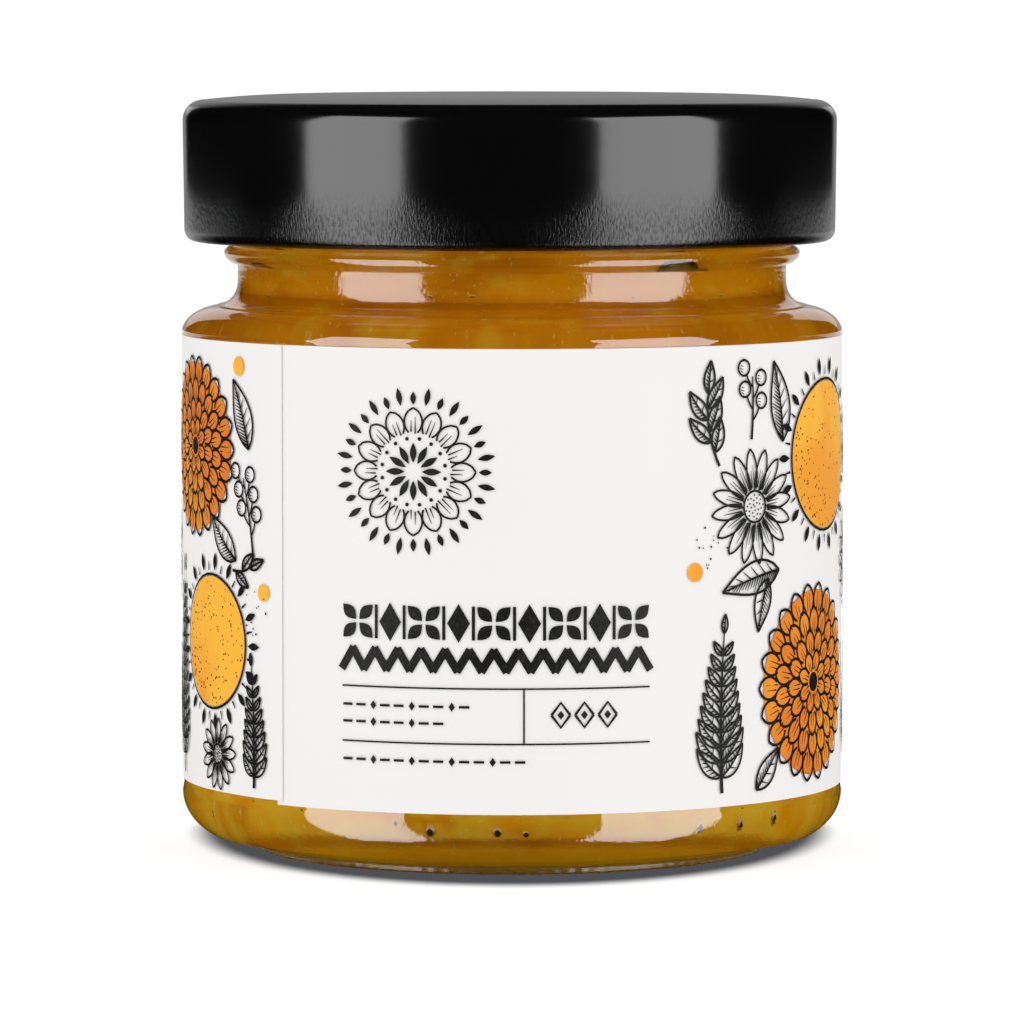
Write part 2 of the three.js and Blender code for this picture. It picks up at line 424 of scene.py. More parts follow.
def clearGlass():
    sheet = Sheet("clearGlass")
    z = sheet.axis("Z") / mm
    # slow waves of a blown wall, with finer ripples at the neck and the heel, which the mould chills first
    waves = sheet.noise(90, 1) * 0.6 + sheet.noise(260, 2) * 0.4
    chilled = sheet.step(z, *glass["chilledNeck"]) + sheet.step(z, *glass["chilledHeel"])
    ripple = sheet.noise(2300, 2) * chilled
    rings = sheet.noise(700, 3, sheet.place((0.08, 0.08, 1))) * sheet.step(z, *glass["ringedNeck"])
    turn = sheet.math("ARCTAN2", sheet.axis("Y"), sheet.axis("X"))
    onFoot = sheet.step(z, *glass["knurledFoot"])
    knurl = sheet.math("SINE", turn * glass["knurls"]) * onFoot * sheet.noise(420, 2)
    normal = sheet.bump(waves * 0.8 + ripple * 0.24 + rings * 0.5 + knurl * 0.5, 0.3, 0.25 * mm)
    colour = sheet.mix(sheet.step(z, *glass["tintedFoot"]), glass["tint"], glass["baseTint"])
    shader = sheet.principled(
        Base_Color=colour,
        Roughness=0.3 * onFoot,
        IOR=1.5,
        Transmission_Weight=1.0,
        Normal=normal,
    )
    # clear glass mirrors little seen straight on, so a share of plain mirror lifts its highlights
    mirror = sheet.principled(Base_Color=(1, 1, 1, 1), Metallic=1.0, Roughness=0.3 * onFoot, Normal=normal)
    return sheet.surface(sheet.node("MixShader", sockets={0: glass["mirror"], 1: shader, 2: mirror}))


jarGlass = turnedPiece("jarGlass", glassOutline(), glass["sides"])
fuseFour(jarGlass, threadStart(), glass["threadMiddle"], glass["threadSpan"])
waveWall(jarGlass)
smoothBy(jarGlass, 40)
finishPiece(jarGlass, clearGlass(), "jar_glass")
print("glass made")


# Marmalade: fills the jar and reaches just into its wall

marmalade = {
    "sides": 160,
    "reach": 0.25,
    "meniscus": 0.5,
    "deep": (0.74, 0.265, 0.002, 1),
    "amber": (0.96, 0.40, 0.004, 1),
    "pale": (0.96, 0.58, 0.03, 1),
    "specks": (0.95, 0.66, 0.14, 1),
    # painted shade: the jelly under the shoulder is darkened by this colour
    "paintedShoulderShade": (0.74, 0.66, 0.5, 1),
    # painted shade: a thin dark line in the jelly at the crease, where its floor turns
    "paintedCreaseShade": (0.72, 0.62, 0.5, 1),
    # painted light: the jelly below the crease is painted this brighter orange
    "under": (0.98, 0.43, 0.004, 1),
    "creaseHeight": 4.75,
    # painted light: the heights above the crease where more of the jelly is painted pale
    "bottomPaintedLightBand": (11, 8),
    "shoulderFoot": (50.5, 53.5),
    "shoulderTop": (59, 57),
    # painted light: a faint glow of the jelly's own colour, standing in for light through the jar
    "paintedGlow": 0.05,
}


def marmaladeOutline():
    top = fillHigh.z / mm
    wall = innerWall(top, -marmalade["reach"])
    surface = top - marmalade["meniscus"]
    points = [(0, surface), (wall[0][0] - 2, surface)] + wall
    return points[::-1]


def marmaladeJelly():
    sheet = Sheet("marmaladeJelly")
    z = sheet.axis("Z") / mm
    crease = marmalade["creaseHeight"]
    # painted light: above the turn of the floor, more of the jelly is painted as pale pulp, so the bottom
    # reads lighter
    bottomPaintedLight = sheet.step(z, crease - 0.1, crease + 0.1) * sheet.step(z, *marmalade["bottomPaintedLightBand"])
    # painted shade: a band of the jelly under the shoulder is darkened
    shoulder = sheet.step(z, *marmalade["shoulderFoot"]) * sheet.step(z, *marmalade["shoulderTop"])
    cloud = sheet.noise(75, 4, sheet.place((1, 1, 2.2)))
    pulp = sheet.noise(230, 4, sheet.place((1, 1, 2.0)))
    shred = sheet.noise(150, 2, sheet.place((1, 1, 3.4)))
    speck = sheet.noise(1900, 1)
    colour = sheet.mix(sheet.step(cloud, 0.38, 0.6), marmalade["deep"], marmalade["amber"])
    colour = sheet.mix(sheet.step(pulp + 0.16 * bottomPaintedLight, 0.48, 0.76) * 0.8, colour, marmalade["pale"])
    colour = sheet.mix(sheet.step(shred, 0.62, 0.68) * 0.4, colour, marmalade["pale"])
    colour = sheet.mix(sheet.step(speck, 0.68, 0.73) * 0.7, colour, marmalade["specks"])
    # painted light: below the crease the jelly is painted brighter, making up for the shade there
    colour = sheet.mix(sheet.step(z, crease, crease - 0.5) * 0.75, colour, marmalade["under"])
    colour = sheet.mix(shoulder, colour, marmalade["paintedShoulderShade"], "MULTIPLY")
    # painted shade: a thin dark line at the crease
    line = sheet.step(abs(z - crease + 0.1), 0.3, 0.05)
    colour = sheet.mix(line, colour, marmalade["paintedCreaseShade"], "MULTIPLY")
    shader = sheet.principled(
        Base_Color=colour,
        Roughness=0.35,
        Specular_IOR_Level=0.03,
        IOR=1.4,
        Subsurface_Weight=0.3,
        Subsurface_Radius=(1.0, 0.4, 0.05),
        Subsurface_Scale=0.003,
        # painted light: the jelly glows faintly though it is no lamp
        Emission_Color=colour,
        Emission_Strength=marmalade["paintedGlow"],
    )
    return sheet.surface(shader)


jelly = turnedPiece("marmaladeFill", marmaladeOutline(), marmalade["sides"])
smoothBy(jelly, 50)
finishPiece(jelly, marmaladeJelly(), "marmalade")
print("marmalade made")


# Air: bubbles caught between the jelly and the wall, and flat pockets of air at the bead, under the lid

# a look is a painted dark core, an edge and a painted highlight above; a place is an angle, a height and
# half a width
air = {
    "bubbles": (
        (-15.4, 5.2, 0.5),
        (-2.7, 5.2, 0.46),
        (2.7, 5.1, 0.34),
        (37.6, 5.2, 0.46),
        (47.7, 5.2, 0.4),
        (57.3, 5.3, 0.36),
    ),
    "bubbleUp": 0.75,
    "bubbleLook": ((0.03, 0.018, 0.005, 1), (0.30, 0.15, 0.01, 1), (0.84, 0.66, 0.30, 1)),
    "lowCount": 26,
    "lowBand": (5.2, 7.2),
    "loopLook": ((0.42, 0.2, 0.01, 1), (0.5, 0.27, 0.02, 1), (0.95, 0.72, 0.25, 1)),
    "loopCount": 34,
    "loopBand": (55.2, 58.6),
    "loopAcross": 1.7,
    "smallest": 0.13,
    "largest": 0.34,
    "pockets": (
        (37, 62.75, 2.9),
        (44, 63.0, 1.5),
        (-66, 63.3, 2.2),
        (-58, 63.6, 1.1),
        (118, 63.4, 2.4),
        (204, 63.3, 3.1),
    ),
    "pocketUp": 0.3,
    "pocketDepth": 0.5,
    # the pockets' dark colours are painted shade
    "pocketLook": ((0.14, 0.105, 0.022, 1), (0.05, 0.033, 0.008, 1), (0.2, 0.15, 0.04, 1)),
}


# One bubble, a ball that is flattened where it lies against the wall
def roundBubble():
    bpy.ops.object.select_all(action="DESELECT")
    bpy.ops.mesh.primitive_uv_sphere_add(segments=20, ring_count=12, radius=mm, location=(0, 0, 0))
    ball = bpy.context.object
    bpy.ops.object.mode_set(mode="EDIT")
    bpy.ops.mesh.select_all(action="SELECT")
    bpy.ops.transform.resize(value=(1, 0.7, 1))
    bpy.ops.object.mode_set(mode="OBJECT")
    bpy.ops.object.shade_smooth()
    # each point keeps its place on the ball, for the material of the copies
    place = ball.data.attributes.new("ballPlace", "FLOAT_VECTOR", "POINT")
    for vertex, entry in zip(ball.data.vertices, place.data):
        entry.vector = vertex.co / mm
    return ball


# A copy of the ball at an angle from the front and a height, far enough out to show in front of the jelly
def placeBubble(ball, angle, height, across, up, deep):
    copy = copyOf(ball)
    out = (boreAt(height + up) + marmalade["reach"] + 0.1 * deep) * mm
    size = Matrix.Diagonal((across, deep, up, 1))
    turn = Matrix.Rotation(math.radians(angle), 4, "Z")
    copy.data.transform(turn @ Matrix.Translation((0, -out, height * mm)) @ size)
    return copy


# Bubbles as one piece: each has a painted dark core a little below the middle, in an edge with a painted
# highlight above
def joinBubbles(name, copies, look):
    piece = joinPieces(copies)
    piece.name = name
    core, edge, bright = look
    sheet = Sheet(name)
    place = sheet.node("Attribute", {"attribute_name": "ballPlace"}, out="Vector")
    flat = sheet.node("Mapping", sockets={"Vector": place, "Location": (0, 0, 0.25), "Scale": (1, 0, 1)})
    away = sheet.node("VectorMath", {"operation": "LENGTH"}, {0: flat}, "Value")
    height = sheet.node("SeparateXYZ", sockets={"Vector": place}, out="Z")
    # painted highlight on the upper edge and painted shade in the core
    paintedHighlightEdge = sheet.mix(sheet.step(height, -0.35, 0.3), edge, bright)
    colour = sheet.mix(sheet.step(away, 0.66, 0.48), paintedHighlightEdge, core)
    shader = sheet.principled(Base_Color=colour, Roughness=0.2, Specular_IOR_Level=0.05)
    finishPiece(piece, sheet.surface(shader))


# Bubbles spread round the jar in a band of heights, more small ones than large
def scatterBubbles(ball, count, band, stretch):
    copies = []
    for k in range(count):
        size = air["smallest"] + (air["largest"] - air["smallest"]) * random.random() ** 1.6
        angle = 360 * (k + random.uniform(-0.5, 0.5)) / count
        copies.append(placeBubble(ball, angle, random.uniform(*band), size * stretch, size, size))
    return copies


ball = roundBubble()
bubbles = []
for angle, height, size in air["bubbles"]:
    bubbles.append(placeBubble(ball, angle, height, size, size * air["bubbleUp"], size))
bubbles += scatterBubbles(ball, air["lowCount"], air["lowBand"], 1)
joinBubbles("airBubbles", bubbles, air["bubbleLook"])
loops = scatterBubbles(ball, air["loopCount"], air["loopBand"], air["loopAcross"])
joinBubbles("airLoops", loops, air["loopLook"])
pockets = []
for angle, height, half in air["pockets"]:
    pockets.append(placeBubble(ball, angle, height, half, half * air["pocketUp"], air["pocketDepth"]))
joinBubbles("airPockets", pockets, air["pocketLook"])
bpy.data.objects.remove(ball)
print("air made:", len(bubbles) + len(loops), "bubbles and", len(pockets), "pockets")


# Lid: a deep black cap with a raised middle, a rounded edge and a curled lower rim

lid = {
    "sides": 192,
    "taper": 0.15,
    "sheet": 0.45,
    "corner": 2.1,
    "panelRadius": 22,
    "panelRise": 0.55,
    "curl": 1.2,
    "lugSpan": 20,
    "lugMiddle": 40,
    "lugRadius": 31.05,
    "wornSkirt": (70, 64.8),
    "dullTop": (77.1, 77.4),
    "black": (0.0022, 0.0022, 0.0024, 1),
}


def lidOutline():
    outer = lidRadius / mm
    foot = outer - lid["taper"]
    bottom = lidLow.z / mm
    top = lidHigh.z / mm - lid["panelRise"]
    sheet, corner, curl, panel = lid["sheet"], lid["corner"], lid["curl"], lid["panelRadius"]
    edge = outer - corner
    inCorner = corner - sheet
    slope = []
    for i in range(1, 10):
        left = 1 - i / 9
        slope.append((panel + (edge - panel) * left, top + lid["panelRise"] * (1 - left * left)))
    points = [(0, slope[-1][1] - sheet)]
    points += [(r, z - sheet) for r, z in slope[::-1]]
    points += arc(edge, top - corner, inCorner, inCorner, 90, 0, 8)
    points += [(foot - sheet, bottom + 2 * curl + 0.6)]
    points += arc(foot - curl, bottom + curl, curl, curl, 100, 360, 26)
    points += [(outer, top - corner)]
    points += arc(edge, top - corner, corner, corner, 0, 90, 14)[1:]
    return points + slope + [(0, slope[-1][1])]


# A stretch of the curl that is pressed inwards, to run under the thread
def lidLug():
    outer = lidRadius / mm - lid["taper"] - lid["curl"]
    bottom = lidLow.z / mm
    inner = lid["lugRadius"]
    section = [(inner, bottom + 1.1), (outer, bottom + 0.5), (outer, bottom + 2.1), (inner, bottom + 1.9)]
    return woundPiece("lidLug", section, lid["lugSpan"], 10)


def blackLacquer():
    sheet = Sheet("blackLacquer")
    z = sheet.axis("Z") / mm
    # the skirt is rougher towards its foot, with fine upright hairs in the lacquer
    worn = sheet.step(z, *lid["wornSkirt"])
    hairs = sheet.noise(5200, 2, sheet.place((1, 1, 0.34)))
    peel = sheet.noise(700, 2)
    onTop = sheet.step(z, *lid["dullTop"])
    normal = sheet.bump(hairs * (0.012 + worn * 0.36) + peel * 0.03, 1.0, 0.1 * mm)
    shader = sheet.principled(
        Base_Color=lid["black"],
        Metallic=sheet.step(hairs, 0.42, 0.66) * worn * 0.45,
        Roughness=0.12 + 0.1 * worn + 0.2 * onTop + 0.03 * peel,
        IOR=1.5,
        Specular_IOR_Level=0.68,
        Normal=normal,
    )
    return sheet.surface(shader)


cap = turnedPiece("twistLid", lidOutline(), lid["sides"])
fuseFour(cap, lidLug(), lid["lugMiddle"], lid["lugSpan"])
cap.data.transform(Matrix.Translation((lidShift, 0, 0)))
smoothBy(cap, 35)
finishPiece(cap, blackLacquer(), "lid")
print("lid made")


# Label: a paper strip that starts at a seam on the front's left, runs round and laps over its own start

label = {
    "steps": 240,
    "rows": 8,
    "paper": 0.12,
    "seam": -43.7,
    "lap": 1.4,
    "lapLift": 0.2,
    "liftSpan": 14,
    "skew": 0.45,
    "skewSpan": (120, 300),
    "white": (0.845, 0.838, 0.83, 1),
    "warm": (0.86, 0.848, 0.825, 1),
}


def labelStrip():
    turn = 360 + label["lap"]
    low, high = labelLow.z, labelHigh.z
    inner = paperRadius - label["paper"] * mm
    upright = (math.pi / 2, 0, 0)
    bpy.ops.object.select_all(action="DESELECT")
    middle = (0, -inner, (low + high) / 2)
    bpy.ops.mesh.primitive_plane_add(size=high - low, location=middle, rotation=upright)
    strip = bpy.context.object
    strip.name = "paperLabel"
    bpy.ops.object.transform_apply(location=True, rotation=True, scale=True)
    bpy.ops.object.mode_set(mode="EDIT")
    bpy.ops.mesh.select_all(action="SELECT")
    bpy.ops.transform.resize(value=(0, 1, 1), center_override=(0, -inner, 0))
    bpy.ops.mesh.remove_doubles(threshold=0.01 * mm)
    bpy.ops.mesh.subdivide(number_cuts=label["rows"])
    seam = math.radians(label["seam"])
    bpy.ops.transform.rotate(value=-seam, orient_axis="Z", center_override=(0, 0, 0))
    bpy.ops.mesh.spin(steps=label["steps"], angle=-math.radians(turn), center=(0, 0, 0), axis=(0, 0, 1))
    bpy.ops.object.mode_set(mode="OBJECT")
    return strip


# How far round the strip a vertex lies, in degrees from the front; spin adds one row of them a step
def stripAngle(index):
    perRow = label["rows"] + 2
    share = (index // perRow) / label["steps"]
    return label["seam"] + (360 + label["lap"]) * share


# How far the last stretch of the strip is lifted over the first one
def paperLift(angle):
    end = label["seam"] + 360 + label["lap"]
    return label["lapLift"] * mm * smoothShare(angle, end - label["liftSpan"], end - 2 * label["lap"])


# Lays the lap over the strip's start, and lets the lower edge run a little high there
def layLap(strip):
    low, high = labelLow.z, labelHigh.z
    for vertex in strip.data.vertices:
        angle = stripAngle(vertex.index)
        skew = label["skew"] * mm * smoothShare(angle, *label["skewSpan"])
        vertex.co += Vector((vertex.co.x, vertex.co.y, 0)).normalized() * paperLift(angle)
        vertex.co.z = high - (high - vertex.co.z) * (high - low - skew) / (high - low)


def thicken(piece, thickness):
    modifier = piece.modifiers.new("thickness", "SOLIDIFY")
    modifier.thickness = thickness
    modifier.offset = 1
    bpy.context.view_layer.objects.active = piece
    bpy.ops.object.modifier_apply(modifier="thickness")


def labelPaper():
    sheet = Sheet("labelPaper")
    fibre = sheet.noise(1500, 3)
    cloud = sheet.noise(60, 2)
    colour = sheet.mix(cloud, label["white"], label["warm"])
    normal = sheet.bump(fibre, 0.15, 0.02 * mm)
    rough = 0.55 + 0.1 * fibre
    shader = sheet.principled(Base_Color=colour, Roughness=rough, Specular_IOR_Level=0.2, Normal=normal)
    return sheet.surface(shader)


paper = labelStrip()
layLap(paper)
thicken(paper, label["paper"] * mm)
smoothBy(paper, 40)
finishPiece(paper, labelPaper(), "label")
print("label made")


# Print: strokes and filled shapes, drawn in millimetres on the unrolled label as (round from the front, up)

printing = {
    "orangeLift": 0.010,
    "inkLift": 0.022,
    "film": 0.006,
    "black": (0.006, 0.006, 0.006, 1),
    "washedBlack": (0.02, 0.019, 0.019, 1),
    "orange": (0.96, 0.47, 0.03, 1),
    "deepOrange": (0.90, 0.34, 0.012, 1),
    "flower": (0.88, 0.30, 0.008, 1),
    "deepFlower": (0.74, 0.19, 0.005, 1),
    "frontEdges": (-17.8, 14.2),
    "bandHeight": 26.2,
    "zigzag": (21.45, 23.45),
    "rules": (19.65, 14.1),
    "chevronHeight": 17.0,
    "rosette": (-10, 41.3),
    "backWidth": 13.5,
    "backEdges": (11.5, 49),
}


# A path that leaves a point at a heading and bends as it goes
def bentPath(start, heading, length, bend, steps):
    u, v = start
    points = [(u, v)]
    for i in range(steps):
        a = math.radians(heading + bend * (i + 0.5) / steps)
        u += length / steps * math.cos(a)
        v += length / steps * math.sin(a)
        points.append((u, v))
    return points


# The same path moved to its left by an amount for each point
def besidePath(path, amounts):
    points = []
    for i, (u, v) in enumerate(path):
        before = path[max(0, i - 1)]
        after = path[min(len(path) - 1, i + 1)]
        du, dv = after[0] - before[0], after[1] - before[1]
        size = math.hypot(du, dv)
        points.append((u - dv / size * amounts[i], v + du / size * amounts[i]))
    return points


def pathAt(path, share):
    place = min(len(path) - 1.001, max(0, share * (len(path) - 1)))
    i = int(place)
    s = place - i
    return (path[i][0] * (1 - s) + path[i + 1][0] * s, path[i][1] * (1 - s) + path[i + 1][1] * s)


def between(first, second, share):
    return (first[0] * (1 - share) + second[0] * share, first[1] * (1 - share) + second[1] * share)


def aroundPoint(centre, radius, degrees):
    a = math.radians(degrees)
    return (centre[0] + radius * math.cos(a), centre[1] + radius * math.sin(a))


class Pen:
    # the strokes of one ink, each a row of (round, up, width)

    def __init__(self):
        self.strokes = []

    def line(self, path, width, tip=1.0):
        last = len(path) - 1
        self.strokes.append([(u, v, width * (1 - (1 - tip) * i / last)) for i, (u, v) in enumerate(path)])

    def blob(self, first, second, width):
        row = []
        for i in range(7):
            u, v = between(first, second, i / 6)
            row.append((u, v, max(0.02, width * math.sin(math.pi * (i / 6)))))
        self.strokes.append(row)

    def diamond(self, centre, width, height):
        u, v = centre
        self.strokes.append([(u - width / 2, v, 0.02), (u, v, height), (u + width / 2, v, 0.02)])

    def disc(self, centre, radius, steps=8):
        turns = [math.pi * (1 - i / steps) for i in range(steps + 1)]
        u, v = centre
        row = [(u + radius * math.cos(a), v, max(0.01, 2 * radius * math.sin(a))) for a in turns]
        self.strokes.append(row)

    def ring(self, centre, radius, width, steps=24):
        self.line([aroundPoint(centre, radius, 360 * i / steps) for i in range(steps + 1)], width)


# A pointed leaf with a rib, close hatching on one half and a few veins on the other
def drawLeaf(pen, start, heading, length, width, bend=0, gap=0.36, edge=0.27):
    rib = bentPath(start, heading, length, bend, 10)
    form = [width / 2 * math.sin(math.pi * (i / 10) ** 0.8) for i in range(11)]
    pen.line(rib, edge * 1.2, 0.4)
    count = int(length / gap)
    for side in (1, -1):
        rim = besidePath(rib, [side * w for w in form])
        pen.line(rim, edge)
        for k in range(1, count - 1):
            if side < 0 and k % 3:
                continue
            share = k / count
            reach = random.uniform(0.55, 0.95) if side > 0 else 0.8
            inner = pathAt(rib, share)
            pen.line([inner, between(inner, pathAt(rim, share + 0.13), reach)], 0.19, 0.4)


# A stem with pairs of leaflets that get smaller towards its tip
def drawFern(pen, start, heading, length, bend, pairs, leaflet):
    stem = bentPath(start, heading, length, bend, 16)
    pen.line(stem, 0.44, 0.35)
    for k in range(pairs):
        share = 0.1 + 0.86 * k / pairs
        size = leaflet * (1.08 - 0.8 * share) * min(1, 0.6 + 3 * share)
        for side in (1, -1):
            turn = heading + bend * share + side * 56
            drawLeaf(pen, pathAt(stem, share), turn, size, size * 0.4, -side * 26, 0.45, 0.24)
    drawLeaf(pen, stem[-1], heading + bend, leaflet * 0.4, leaflet * 0.16, 0, 0.45, 0.24)


# A stem with single leaves on alternate sides
def drawSprig(pen, start, heading, length, bend, leaves, size):
    stem = bentPath(start, heading, length, bend, 12)
    pen.line(stem, 0.34, 0.4)
    for k in range(leaves):
        share = 0.2 + 0.75 * k / leaves
        side = 1 if k % 2 else -1
        turn = heading + bend * share + side * 42
        drawLeaf(pen, pathAt(stem, share), turn, size, size * 0.42, -side * 20)
    drawLeaf(pen, stem[-1], heading + bend, size * 0.9, size * 0.36)


# Loose dots that thin out from a middle
def drawDots(pen, centre, radius, count):
    for _ in range(count):
        spot = aroundPoint(centre, radius * random.random(), random.uniform(0, 360))
        pen.disc(spot, random.uniform(0.07, 0.14), 4)


# One ring of petals, each with two hatching lines from its foot
def drawPetals(pen, centre, inside, outside, count, first=0, fullness=1.0, edge=0.22):
    width = 2 * math.pi * (inside + outside) / 2 / count * 0.98 * fullness
    for k in range(count):
        turn = first + 360 * k / count
        rib = [aroundPoint(centre, inside + (outside - inside) * i / 8, turn) for i in range(9)]
        form = [width / 2 * math.sin(math.pi * (0.1 + 0.9 * i / 8)) ** 0.6 for i in range(8)] + [0]
        for side in (1, -1):
            pen.line(besidePath(rib, [side * w for w in form]), edge)
            foot = between(rib[0], besidePath(rib, form)[1], 0.3 * side)
            end = between(rib[0], rib[-1], random.uniform(0.4, 0.7))
            pen.line([foot, between(end, besidePath(rib, form)[5], 0.25 * side)], 0.17, 0.3)


def drawDaisy(pen, centre, radius, petals, first=0):
    drawPetals(pen, centre, radius * 0.3, radius, petals, first)
    pen.ring(centre, radius * 0.27, 0.24)
    for k in range(26):
        pen.disc(aroundPoint(centre, radius * 0.045 * math.sqrt(k), k * 137.5), 0.11, 4)


# A round many-petalled flower on an orange ground
def drawDahlia(ground, pen, centre, radius):
    ground.disc(centre, radius * 0.93, 32)
    rings = ((0.72, 1.0, 22), (0.50, 0.76, 18), (0.30, 0.54, 13), (0.12, 0.33, 8))
    for n, (inside, outside, count) in enumerate(rings):
        drawPetals(pen, centre, inside * radius, outside * radius, count, n * 9, 0.95, 0.3)
    pen.disc(centre, radius * 0.1)


# An orange disc with pointed rays, shaded with dots along its lower left
def drawSun(orange, pen, centre, radius, rays):
    orange.disc(centre, radius, 32)
    pen.ring(centre, radius + 0.2, 0.26, 36)
    for k in range(rays):
        turn = 360 * k / rays
        near = aroundPoint(centre, radius + 0.6, turn)
        if k % 2:
            pen.line([near, aroundPoint(centre, radius + 1.5, turn)], 0.28, 0.4)
        else:
            pen.blob(near, aroundPoint(centre, radius + 2.5, turn), 0.78)
    for _ in range(420):
        turn = random.uniform(0, 360)
        out = radius * 0.97 * math.sqrt(random.random())
        spot = aroundPoint(centre, out, turn)
        shade = (centre[0] - spot[0] + centre[1] - spot[1]) / radius / 1.41
        if random.random() < 0.25 + 0.75 * max(0, shade) ** 1.5:
            pen.disc(spot, random.uniform(0.05, 0.13), 4)


def drawBerries(pen, start, heading, length, bend, count):
    stem = bentPath(start, heading, length, bend, 10)
    pen.line(stem, 0.34, 0.5)
    for k in range(count):
        side = 1 if k % 2 else -1
        share = 0.3 + 0.7 * k / count
        stalk = bentPath(pathAt(stem, share), heading + bend * share + side * 48, 1.6, -side * 30, 3)
        pen.line(stalk, 0.22)
        middle = aroundPoint(stalk[-1], 0.8, heading + bend * share + side * 25)
        pen.ring(middle, 0.8, 0.24, 14)
        for row in (-0.35, -0.05, 0.25):
            reach = 0.62 - abs(row) * 0.5
            left = (middle[0] - reach, middle[1] + row)
            pen.line([left, (middle[0] - 0.1, middle[1] + row - 0.1)], 0.12, 0.4)
        pen.disc(aroundPoint(middle, 0.8, heading + bend * share), 0.16, 4)


# A row of small marks between two places, at a height
def drawMarks(pen, low, high, v, size):
    u = low
    k = 0
    while u < high - size:
        if k % 3 == 2:
            pen.diamond((u + size * 0.5, v), size * 0.75, size * 1.1)
            u += size * 1.35
        else:
            pen.line([(u, v), (u + size * 1.25, v)], size * 0.3)
            u += size * 1.75
        k += 1


def drawRule(pen, low, high, v, width):
    steps = max(2, int((high - low) / 2))
    pen.line([(low + (high - low) * i / steps, v) for i in range(steps + 1)], width)


# The bold bands, rules and small marks of the front, and a rosette above them
def drawFront(pen):
    left, right = printing["frontEdges"]
    band = printing["bandHeight"]
    units = 9
    pitch = (right - left) / units
    for k in range(units):
        u = left + pitch * (k + 0.5)
        if k % 2:
            pen.diamond((u, band), 2.3, 3.9)
            for side in (1, -1):
                pen.line([(u + side * 1.5, band - 1.7), (u + side * 1.5, band + 1.7)], 0.32)
        else:
            for turn in (45, 135, 225, 315):
                pen.blob(aroundPoint((u, band), 0.25, turn), aroundPoint((u, band), 2.35, turn), 1.25)
    zigzag = [(left + (right - left) * k / 26, printing["zigzag"][k % 2]) for k in range(27)]
    for first, second in zip(zigzag, zigzag[1:]):
        pen.line([between(first, second, -0.06), between(first, second, 1.06)], 0.85)
    upper, lower = printing["rules"]
    for v in (upper, lower):
        drawRule(pen, left, right, v, 0.17)
    pen.line([(1.2, lower), (1.2, upper)], 0.17)
    drawMarks(pen, -17.7, -3.4, 17.8, 0.85)
    drawMarks(pen, -17.7, -6.4, 16.1, 0.85)
    drawMarks(pen, -17.7, 2.2, 12.3, 0.85)
    v = printing["chevronHeight"]
    for k in range(3):
        u = 4.9 + 2.4 * k
        for side in (1, -1):
            pen.line([(u - 0.95, v), (u, v + side * 1.25), (u + 0.95, v)], 0.28)
        pen.diamond((u, v), 0.7, 0.9)
    middle = printing["rosette"]
    for k in range(32):
        turn = 360 * k / 32
        reach = 8.5 if k % 2 else 8.0
        pen.blob(aroundPoint(middle, 6.7, turn), aroundPoint(middle, reach, turn), 0.62)
    drawPetals(pen, middle, 3.9, 6.4, 16, 0, 0.95, 0.2)
    for k in range(16):
        pen.disc(aroundPoint(middle, 3.35, 360 * (k + 0.5) / 16), 0.2, 5)
    for k in range(12):
        turn = 360 * k / 12
        pen.blob(aroundPoint(middle, 0.9, turn), aroundPoint(middle, 2.9, turn), 0.7)


# Flowers, ferns and suns from the front's right towards the back
def drawRightSide(orange, flower, pen):
    drawDahlia(flower, pen, (38.2, 18.6), 10.2)
    drawSun(orange, pen, (41.2, 41.8), 7.6, 36)
    drawDaisy(pen, (27.3, 37.2), 5.9, 16, 7)
    drawFern(pen, (22.8, 8.4), 93, 16.2, -8, 9, 4.9)
    drawLeaf(pen, (31.2, 30.6), 186, 8.6, 3.3, 14)
    drawSprig(pen, (22.4, 41.5), 118, 7.6, -34, 5, 3.7)
    drawBerries(pen, (26.8, 44.0), 84, 6.4, 10, 4)
    drawLeaf(pen, (31.8, 43.6), 92, 8.4, 3.2, 18)
    drawLeaf(pen, (27.6, 8.4), 44, 5.4, 2.3, 10)
    drawLeaf(pen, (29.4, 29.8), 246, 5.6, 2.4, 16)
    drawDots(pen, (21.2, 33.4), 2.4, 14)
    orange.disc((19.4, 30.9), 0.95)
    drawDaisy(pen, (53.4, 30.4), 5.6, 16)
    drawFern(pen, (52.5, 8.6), 86, 14, 12, 9, 4.2)
    drawFern(pen, (54.5, 38), 80, 12, -20, 8, 3.6)
    drawDahlia(flower, pen, (66.5, 40.5), 8.6)
    drawSun(orange, pen, (67.5, 17.5), 7.0, 36)
    drawSprig(pen, (58.5, 24.5), 62, 7, 24, 4, 3.6)
    drawFern(pen, (81, 9), 96, 28, -8, 14, 4.4)
    drawDaisy(pen, (82, 46), 5.2, 15, 5)


